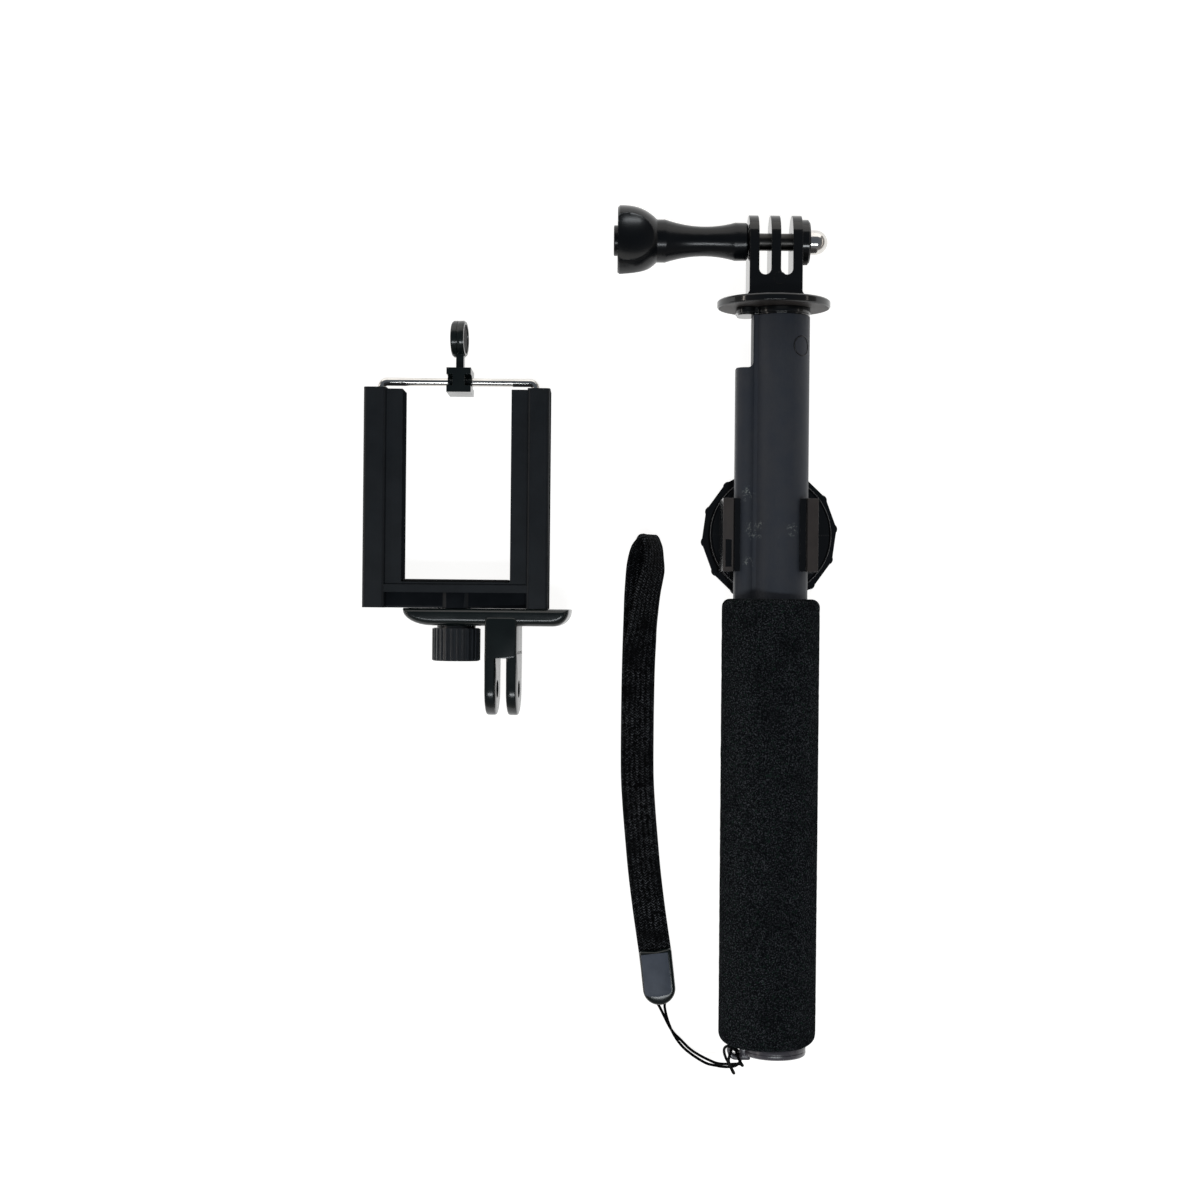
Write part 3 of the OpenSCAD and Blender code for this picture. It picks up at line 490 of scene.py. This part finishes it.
# Radius in mm of each piece's rounded edges
EDGES = {
    "outer_tube": 0.15, "lock_button": 0.15, "top_cap": 0.25, "mount_head": 0.45,
    "thumb_handle": 0.7, "handle_cap": 0.3, "clip_base": 0.25, "twist_ring": 0.2, "clamp_frame": 0.35,
    "base_pad": 0.2, "top_claw": 0.4, "thumb_knob": 0.18,
}
REBUILT = ("lanyard_cord", "wrist_strap", "foam_grip", "end_cap", "fork_adapter", "cord_slider")
for node, edge in EDGES.items():
    rounded(node, edge)
for node in NODES:
    if node not in EDGES and node not in REBUILT:
        dress(NODES[node], SLOT_OF[node])
dress(cord, "cord")
dress(hitch, "cord")

# ---------- adapter: a pillow-shaped plate and a two-prong fork ----------
# In mm, X and Z from the knob's axis
KNOB = middle("thumb_knob")
PLATE_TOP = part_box("fork_adapter")[1].y / MM
PLATE_LEFT, PLATE_RIGHT, PLATE_T, PLATE_HALF, PILLOW = -14.9, 33.1, 4.95, 7.2, 2.2
FORK_X, FORK_Y, FORK_HALF_W, FORK_R, FORK_SLOT, FORK_BORE = 13.75, -17.3, 4.6, 7.55, 3.3, 2.5
FORK_EDGE = 0.6
FORK_PROUD = 0.04                # how far the block stands out from the prongs
ADAPTER_TURN = math.radians(-4)  # about the knob's axis


# Sine and cosine from the side of a rounded edge to its face
QUARTER_TURN = [(math.sin(math.radians(a)), math.cos(math.radians(a))) for a in (90, 60, 30, 0)]


def quarter(cx, cy, rx, ry, start, count=8):
    """Points of a quarter of an ellipse, from a start angle in degrees."""
    angles = [math.radians(start + 90 * i / count) for i in range(count + 1)]
    return [(cx + rx * math.cos(a), cy + ry * math.sin(a)) for a in angles]


def plate_ring(turn):
    """Outline of the plate where its face has rounded off by this angle."""
    inset = PILLOW * (1 - math.cos(turn))
    z = (PLATE_HALF - PILLOW + PILLOW * abs(math.sin(turn))) * (1 if turn > 0 else -1)
    low = PLATE_TOP - PLATE_T
    corner, round_h, round_left = 0.4, 4.6, 8.5
    outline = (quarter(PLATE_RIGHT - round_h, low + round_h, round_h, round_h, -90)
               + quarter(PLATE_RIGHT - corner, PLATE_TOP - corner, corner, corner, 0, 3)
               + quarter(PLATE_LEFT + corner, PLATE_TOP - corner, corner, corner, 90, 3)
               + quarter(PLATE_LEFT + round_left, low + round_h, round_left, round_h, 180))
    cx, cy = (PLATE_LEFT + PLATE_RIGHT) / 2, PLATE_TOP - PLATE_T * 0.42
    sx, sy = 1 - inset / (PLATE_RIGHT - cx), 1 - 0.66 * inset / PILLOW
    return [Vector((cx + (x - cx) * sx, cy + (y - cy) * sy, z)) for x, y in outline]


def block_ring(at, inset):
    """Outline of the block that joins the prongs to the plate, drawn in by an inset."""
    left, right = FORK_X - FORK_HALF_W + inset, FORK_X + FORK_HALF_W - inset
    low, top, r = FORK_Y + 9.0, PLATE_TOP - 2.4 - inset, 1.1
    outline = (quarter(right - r, low + r, r, r, -90, 4) + quarter(right - r, top - r, r, r, 0, 4)
               + quarter(left + r, top - r, r, r, 90, 4) + quarter(left + r, low + r, r, r, 180, 4))
    return [Vector((x, y, at)) for x, y in outline]


def prong_reach(angle):
    """Distance from a prong's bore to its rim: round at the tip, straight up to the block."""
    c, s = math.cos(angle), abs(math.sin(angle))
    return FORK_R if c <= 0 else min(FORK_R / max(s, 1e-6), 11.5 / c)


def make_adapter():
    turns = [math.radians(a) for a in (-90, -72, -54, -36, -18, -1, 1, 18, 36, 54, 72, 90)]
    plate = stacked([plate_ring(turn) for turn in turns])
    ends = [(FORK_R + FORK_PROUD - FORK_EDGE + FORK_EDGE * s, FORK_EDGE * (1 - c)) for s, c in QUARTER_TURN]
    block = stacked([block_ring(-z, g) for z, g in ends] + [block_ring(z, g) for z, g in reversed(ends)])
    prongs = []
    thick = FORK_HALF_W - FORK_SLOT / 2
    for side in (-1, 1):
        centre = Vector((FORK_X + side * (FORK_HALF_W - thick / 2), FORK_Y, 0))
        prongs.append(eyed_plate(centre, "X", prong_reach, FORK_BORE, thick / 2, FORK_EDGE))
    place = Matrix.Translation((KNOB.x, 0, KNOB.z)) @ Matrix.Rotation(ADAPTER_TURN, 4, "Y")
    mesh = joined("fork_adapter_shape", [plate, block] + prongs, place, 40)
    dress(add_object("fork_adapter_shape", mesh, node="fork_adapter", replaces=["fork_adapter"]), "green_black")


make_adapter()


# ---------- small moulded details ----------
BEAD_R, BEAD_WIRE = 17.3 * MM, 0.26 * MM
PARTING_HALF, PARTING_WIRE = 17.1 * MM, 0.07 * MM
MARK_R, MARK_WIRE = 1.7 * MM, 0.09 * MM
RIM_R, RIM_WIRE = 2.78 * MM, 0.16 * MM


def circle_points(at, radius, count=96):
    """Points of a circle that faces up."""
    return [Vector(at) + radius * Vector((math.cos(a), math.sin(a), 0))
            for a in (2 * math.pi * i / count for i in range(count))]


def add_details():
    """Bead and parting line of the clip disc, ejector mark of the head, rim of the button, foot of the clamp."""
    clip, top = middle("clip_base"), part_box("clip_base")[0].z + 6.65 * MM
    circle = circle_points((clip.x, clip.y, top - 0.12 * MM), BEAD_R)
    bead = curve_object("clip_bead", circle, BEAD_WIRE, "clip", cyclic=True)
    line = [Vector((clip.x + x, clip.y, top)) for x in (-PARTING_HALF, 0, PARTING_HALF)]
    parting = curve_object("clip_parting_line", line, PARTING_WIRE, "clip")
    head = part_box("mount_head")
    mark_at = (POLE_X + 1.05 * MM, head[0].y + 7.7 * MM, (head[0].z + head[1].z) / 2 + 7.52 * MM)
    mark = curve_object("head_ejector_mark", circle_points(mark_at, MARK_R, 48), MARK_WIRE, "head",
                        cyclic=True)
    tube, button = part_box("outer_tube")[1], middle("lock_button")
    r = tube.z - AXIS_Z
    centre = tube.x - r
    out = math.atan2(button.z - AXIS_Z, button.x - centre)
    round_button = []
    for a in (2 * math.pi * i / 48 for i in range(48)):
        turn = out + math.asin(RIM_R * math.sin(a) / r)
        round_button.append(Vector((centre + r * math.cos(turn), button.y + RIM_R * math.cos(a),
                                    AXIS_Z + r * math.sin(turn))))
    rim = curve_object("button_rim", round_button, RIM_WIRE, "handle", cyclic=True)
    for obj in (bead, parting, mark, rim):
        dress(obj, "handle_black")
    frame_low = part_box("clamp_frame")[0].y / MM
    x, z, half_w, half_h = KNOB.x / MM, KNOB.z / MM, 20.1, 4.7
    ring = [(-half_w, 0.02), (half_w, 0.02), (half_w, 0.6), (-half_w, 0.6)]
    skirt = stacked([[Vector((x + u, frame_low + v, z + w)) for u, v in ring] for w in (-half_h, half_h)])
    mesh = joined("clamp_skirt", [skirt], sharp=40)
    dress(add_object("clamp_skirt", mesh, body="clamp"), "satin_black")


add_details()


SLIDER_TOP, SLIDER_TIP, SLIDER_HALF = Vector((16.75, -94.1)), Vector((18.5, -109.35)), 4.75
SLIDER_EDGE, SLIDER_UNDER_EDGE, SLIDER_CORNER, PANEL_CORNER = 0.9, 0.5, 0.9, 1.3


def make_slider():
    """Cord slider: a flat bead with a round tip and rolled edges, grey on the panel on its face; its rolled
    edges and underside are painted green-black as painted shade, the band wider on the right.
    """
    low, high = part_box("cord_slider")
    half, edge, corner = SLIDER_HALF, SLIDER_EDGE, SLIDER_CORNER
    along = (SLIDER_TIP - SLIDER_TOP).normalized()
    across = Vector((-along.y, along.x))
    length = (SLIDER_TIP - SLIDER_TOP).length
    z_mid, z_half = (low.z + high.z) / 2 / MM, (high.z - low.z) / 2 / MM

    def at_height(outline, z):
        return [Vector((*(SLIDER_TOP + along * u + across * v), z_mid + z)) for u, v in outline]

    def ring(z, inset, forward):
        """Outline drawn in by an inset, and by more at the tip."""
        outline = []
        for a in (math.radians(-90 + 6 * i) for i in range(31)):
            outline.append((length - half + (half - inset) * math.cos(a) - forward * max(math.cos(a), 0),
                            (half - inset) * math.sin(a)))
        for side, start in ((1, 90), (-1, 180)):
            for a in (math.radians(start + 15 * i) for i in range(7)):
                outline.append((1.0 + inset + corner * math.cos(a) - corner,
                                side * (half - inset - corner) + corner * math.sin(a)))
            if side == 1:
                outline.append((0.55 + inset - corner, 0.0))
        return at_height(outline, z)

    def panel_ring(z, inset):
        # The panel stops further from the right edge, leaving a wider dark band there: painted shade on the
        # right-hand rolled edge
        left, right, end, r = -half + 0.45 + inset, half - 1.2 - inset, length - 2.9 - inset, PANEL_CORNER
        turns = [math.radians(15 * i) for i in range(7)]
        outline = [(0.2 + inset, left), (0.2 + inset, right)]
        outline += [(end - r + r * math.sin(a), right - r + r * math.cos(a)) for a in turns]
        outline += [(end + 0.35, (left + right) / 2)]
        outline += [(end - r + r * math.cos(a), left + r - r * math.sin(a)) for a in turns]
        return at_height(outline, z)

    upper = [ring(z_half - edge + edge * s, edge * (1 - c), 1.5 * (1 - c)) for s, c in reversed(QUARTER_TURN)]
    under = SLIDER_UNDER_EDGE
    lower = [ring(-z_half + under - under * s, under * (1 - c), 0) for s, c in QUARTER_TURN]
    panel = stacked([panel_ring(z_half - 0.4, 0), panel_ring(z_half, 0), panel_ring(z_half + 0.06, 0.08)])
    mesh = joined("cord_slider_shape", [stacked(lower + upper), panel], sharp=60)
    # Everything below the panel's top takes the green-black, painted shade on the rolled edges and underside
    level = (z_mid + z_half + 0.02) * MM
    dress(add_object("cord_slider_shape", mesh, node="cord_slider", replaces=["cord_slider"]),
          "slider_grey", "green_black", lambda at, normal: at.z < level)


make_slider()


LEAF_FOOT, LEAF_BEND_END, LEAF_GAP = 3 * MM, 34 * MM, 0.15 * MM


def make_springs():
    """The bail springs as a copy of their CAD mesh on the clamp; the leaf beside the button cut short of the
    button.
    """
    coils = add_object("bail_springs_shape", NODES["bail_springs"].data.copy(),
                       body="clamp", replaces=["bail_springs"])
    dress(coils, "spring_steel")
    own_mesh(coils)
    # The leaf stops short of the button, and is left on no body
    bm = bmesh.new()
    bm.from_mesh(NODES["button_spring"].data)
    cut = bmesh.ops.bisect_plane(bm, geom=bm.verts[:] + bm.edges[:] + bm.faces[:], clear_outer=True,
                                 plane_co=(0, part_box("lock_button")[0].y - LEAF_GAP, 0), plane_no=(0, 1, 0))
    bmesh.ops.holes_fill(bm, edges=[e for e in cut["geom_cut"] if isinstance(e, bmesh.types.BMEdge)])
    mesh = bpy.data.meshes.new("button_spring_shape")
    bm.to_mesh(mesh)
    bm.free()
    leaf = bpy.data.objects.new("button_spring_shape", mesh)
    bpy.context.scene.collection.objects.link(leaf)
    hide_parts("button_spring")
    dress(leaf, "spring_steel")
    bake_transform(leaf)


make_springs()


# ---------- end cap: turned flange with a groove, and the eye for the cord ----------
TUBE_R, TUBE_DX = 8.2, 2.2       # in mm; the round part of the tube stands beside the pole axis
CAP_PROFILE = [(0.01, -3.1), (7.9, -3.1), (8.4, -3.0), (8.75, -2.75), (8.9, -2.4), (8.9, -1.75), (8.72, -1.62),
               (8.72, -1.5), (8.9, -1.37), (8.9, -0.3), (8.6, -0.03), (0.01, -0.03)]
LUG_X, LUG_Y, LUG_LONG, LUG_R, LUG_TOP, LUG_EYE, LUG_HALF, LUG_EDGE = -8.8, -1.9, 4.0, 2.5, 1.87, 1.2, 2.2, 0.5


def lug_reach(angle):
    """Distance from the lug's eye to its rim: round outside, straight towards the cap."""
    c, s = math.cos(angle), math.sin(angle)
    reach = LUG_R if c <= 0 else min(LUG_LONG / c, LUG_R / max(abs(s), 1e-6))
    return min(reach, LUG_TOP / s) if s > 0 else reach


def make_end_cap():
    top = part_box("foam_grip")[0].y / MM
    axis_x, axis_z = POLE_X / MM + TUBE_DX, AXIS_Z / MM
    rings = [[Vector((axis_x + r * math.cos(a), top + y, axis_z + r * math.sin(a)))
              for a in (2 * math.pi * j / 144 for j in range(144))] for r, y in CAP_PROFILE]
    eye = Vector((POLE_X / MM + LUG_X, top + LUG_Y, axis_z))
    lug = eyed_plate(eye, "Z", lug_reach, LUG_EYE, LUG_HALF, LUG_EDGE)
    mesh = joined("end_cap_shape", [stacked(rings), lug], sharp=50)
    # The cap's purple-grey is a painted reflection
    dress(add_object("end_cap_shape", mesh, node="end_cap", replaces=["end_cap"]), "end_cap_painted_sheen")


make_end_cap()

# ---------- foam grip ----------
# In mm: the channel beside the round part of the tube
LOBE_X, LOBE_Z, LOBE_R, LOBE_STEP = -7.65, 2.2, 3.0, 4.5


def bore_radius(angle):
    """Distance in mm from the pole axis to the keyed outline of the tube."""
    c, s = math.cos(angle), math.sin(angle)
    found = [TUBE_DX * c + math.sqrt(TUBE_R ** 2 - (TUBE_DX * s) ** 2)]
    for z in (-LOBE_Z, LOBE_Z):
        along = LOBE_X * c + z * s
        short = LOBE_R ** 2 - (LOBE_X ** 2 + z ** 2 - along ** 2)
        if along > 0 and short > 0:
            found.append(along + math.sqrt(short))
    if c < 0:
        flank = (LOBE_R - LOBE_X) / -c
        if abs(flank * s) <= LOBE_Z:
            found.append(flank)
        ledge = min(-LOBE_X / -c, LOBE_STEP / max(abs(s), 1e-6))
        found.append(ledge)
    return max(found)


def make_foam():
    """Foam sleeve: rounded ends, a slight taper, a pitted skin and the tube's keyed bore."""
    low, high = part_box("foam_grip")
    r_low, r_high, round_low, round_high = 13.85, 14.0, 3.4, 2.3
    bore_gap, pit = 0.12, 0.05
    length = (high.y - low.y) / MM
    rows, columns, profile = 150, 180, []
    for i in range(9):
        a = math.radians(-90 + 90 * i / 8)
        profile.append((r_low - round_low + round_low * math.cos(a), round_low + round_low * math.sin(a)))
    for i in range(1, rows):
        t = i / rows
        profile.append((r_low + (r_high - r_low) * t, round_low + (length - round_low - round_high) * t))
    for i in range(9):
        a = math.radians(90 * i / 8)
        profile.append((r_high - round_high + round_high * math.cos(a),
                        length - round_high + round_high * math.sin(a)))
    profile += [(None, length - 0.05), (None, length * 0.5), (None, 0.05)]  # down the bore
    points = []
    for r, y in profile:
        for j in range(columns):
            a = 2 * math.pi * j / columns
            bore = bore_radius(a) - bore_gap
            radius = bore if r is None else max(r, bore)
            p = Vector((POLE_X / MM + radius * math.cos(a), low.y / MM + y, AXIS_Z / MM + radius * math.sin(a)))
            if r is not None:
                out = Vector((math.cos(a), 0, math.sin(a)))
                p += out * (pit * noise.noise(p * 1.7) + pit * noise.noise(p * 0.45) - pit)
            points.append(p * MM)
    mesh = mesh_of("foam_grip_shape", points, grid_faces(len(profile), columns, True, True))
    obj = add_object("foam_grip_shape", mesh, node="foam_grip", replaces=["foam_grip"])
    return dress(obj, "foam")


make_foam()

# ---------- wrist strap: one woven tape, doubled, its loop end leaning over ----------
TAPE_W, TAPE_T = 9.9, 1.0
TAPE_REST = 0.7                  # middle of the lower layer above the floor
RIB_PITCH, RIB_HEIGHT, CORD_HEIGHT = 1.5, 0.045, 0.11
# Stations in mm: y, middle x, height of the middle, tilt in degrees with the left edge up
LOWER = [(-98.0, 17.2, 1.7, 0), (-94.2, 16.7, 1.5, 0), (-89.0, 15.9, 1.0, 0), (-81.0, 14.7, 0.7, 0),
         (-71.0, 13.4, 0.7, 0), (-62.0, 12.5, 0.7, 0), (-52.0, 11.6, 0.7, 0), (-42.0, 11.0, 0.7, 0),
         (-28.0, 10.9, 0.7, 0), (-16.0, 10.95, 0.7, 0), (-6.0, 11.1, 0.7, 0), (4.3, 11.35, 0.7, 0),
         (10.0, 11.5, 0.8, 2), (17.2, 11.9, 1.3, 8), (21.0, 12.15, 2.4, 22), (24.4, 12.4, 3.7, 40),
         (26.2, 12.7, 4.7, 56)]
BEND = [(27.1, 13.0, 5.1, 59), (27.5, 13.6, 5.5, 60), (27.0, 14.1, 5.8, 59)]
UPPER = [(26.0, 14.5, 5.9, 58), (24.0, 15.1, 5.8, 57), (21.1, 15.3, 5.5, 55), (17.5, 15.1, 5.2, 48),
         (14.6, 14.4, 5.0, 43), (10.8, 13.6, 4.8, 41), (6.1, 12.9, 4.6, 38), (0.0, 12.0, 3.9, 29),
         (-6.0, 11.3, 2.5, 10), (-12.0, 11.05, 1.9, 0), (-20.0, 10.95, 1.85, 0), (-28.0, 10.9, 1.85, 0),
         (-42.0, 11.0, 1.85, 0), (-52.0, 11.6, 1.85, 0), (-62.0, 12.5, 1.85, 0), (-71.0, 13.4, 1.85, 0),
         (-81.0, 14.7, 1.85, 0), (-89.0, 15.9, 2.1, 0), (-94.2, 16.7, 2.6, 0), (-98.0, 17.2, 2.8, 0)]


def tape_thickness(u):
    """Half thickness across the tape: round selvages, fine ribs and four raised cords."""
    edge = math.sqrt(max(0.0, 1 - abs(u) ** 9))
    ribs = RIB_HEIGHT * math.cos(2 * math.pi * u * TAPE_W / 2 / RIB_PITCH)
    cords = sum(CORD_HEIGHT * math.exp(-((u - at) / 0.055) ** 2) for at in (-0.42, -0.62, 0.86, -0.88))
    return edge * (TAPE_T / 2 - 0.08 + ribs + cords)


def make_strap():
    """The doubled tape along its stations, with its own width and length as texture coordinates."""
    rows = [Vector((x, y, z, tilt)) for y, x, z, tilt in LOWER + BEND + UPPER]
    dense = spline_points(rows, 12)
    line = [Vector((p[0], p[1], max(p[2], TAPE_REST))) for p in dense]
    across, along = 34, 0.0
    points, coords = [], []
    for i, p in enumerate(line):
        tangent = (line[min(i + 1, len(line) - 1)] - line[max(i - 1, 0)]).normalized()
        tilt = math.radians(dense[i][3])
        width = Vector((math.cos(tilt), 0, -math.sin(tilt)))
        normal = width.cross(tangent).normalized()
        if i:
            along += (line[i] - line[i - 1]).length
        for j in range(2 * across):
            face = 1 if j < across else -1
            k = j if j < across else 2 * across - 1 - j
            u = -1 + 2 * (k + 0.5) / across
            points.append((p + width * (u * TAPE_W / 2) + normal * (face * tape_thickness(u))) * MM)
            coords.append((u * TAPE_W / 2 * MM, along * MM))
    ring = 2 * across
    points, faces = stacked([points[i:i + ring] for i in range(0, len(points), ring)])
    mesh = mesh_of("wrist_strap_tape", points, faces)
    layer = mesh.uv_layers.new(name="tape")
    for loop in mesh.loops:
        layer.data[loop.index].uv = coords[loop.vertex_index]
    obj = add_object("wrist_strap_tape", mesh, node="wrist_strap", replaces=["wrist_strap"])
    return dress(obj, "webbing")


make_strap()

# ---------- floor and light ----------
FLOOR_HALF = 3.0
floor_corners = [(x * FLOOR_HALF, y * FLOOR_HALF, 0) for x, y in ((-1, -1), (1, -1), (1, 1), (-1, 1))]
floor_mesh = mesh_of("floor", floor_corners, [(0, 1, 2, 3)])
floor = bpy.data.objects.new("floor", floor_mesh)
floor.location = (0, 0, -0.05 * MM)
bpy.context.scene.collection.objects.link(floor)
floor_finish = grained("floor", (0.36, 0.36, 0.36), 0.75, 0.04, 0.5 * MM, 0.004 * MM, blotch=0.004, specular=0.2,
                       **{"Emission Color": (1, 0.995, 0.985, 1), "Emission Strength": 0.92})
MATERIALS["floor"] = floor_finish.material
dress(floor, "floor")

# Sky: light at the horizon, darker overhead
world = bpy.data.worlds.new("studio")
bpy.context.scene.world = world
world.use_nodes = True
sky_tree = world.node_tree
where = sky_tree.nodes.new("ShaderNodeTexCoord")
height = sky_tree.nodes.new("ShaderNodeSeparateXYZ")
ramp = sky_tree.nodes.new("ShaderNodeValToRGB")
sky_tree.links.new(where.outputs["Generated"], height.inputs[0])
sky_tree.links.new(height.outputs["Z"], ramp.inputs["Fac"])
sky_tree.links.new(ramp.outputs["Color"], sky_tree.nodes["Background"].inputs["Color"])
SKY = [(0.0, (0.34, 0.32, 0.30)), (0.45, (0.17, 0.17, 0.175)), (1.0, (0.090, 0.105, 0.125))]
stops = ramp.color_ramp.elements
stops.new(0.5)
for stop, (position, colour) in zip(stops, SKY):
    stop.position = position
    stop.color = (*colour, 1)


def lamp(name, place, size, radiance, colour):
    """Soft rectangular light of a given brightness, aimed at the origin."""
    data = bpy.data.lights.new(name, "AREA")
    data.shape = "RECTANGLE"
    data.size, data.size_y = size
    data.energy = radiance * math.pi * size[0] * size[1]
    data.color = colour
    obj = bpy.data.objects.new(name, data)
    obj.location = place
    obj.rotation_euler = (Vector() - Vector(place)).to_track_quat("-Z", "Y").to_euler()
    bpy.context.scene.collection.objects.link(obj)


lamp("key", (0.0, -0.50, 1.15), (0.9, 0.15), 13.0, (0.92, 0.97, 1.0))
lamp("sweep", (0.0, 1.35, 0.50), (2.4, 1.0), 1.2, (1.0, 0.98, 0.95))
lamp("left", (-1.25, 0.0, 0.55), (1.5, 0.08), 7.0, (1.0, 0.92, 0.84))
lamp("right", (1.25, 0.0, 0.55), (1.5, 0.08), 1.8, (1.0, 0.92, 0.84))
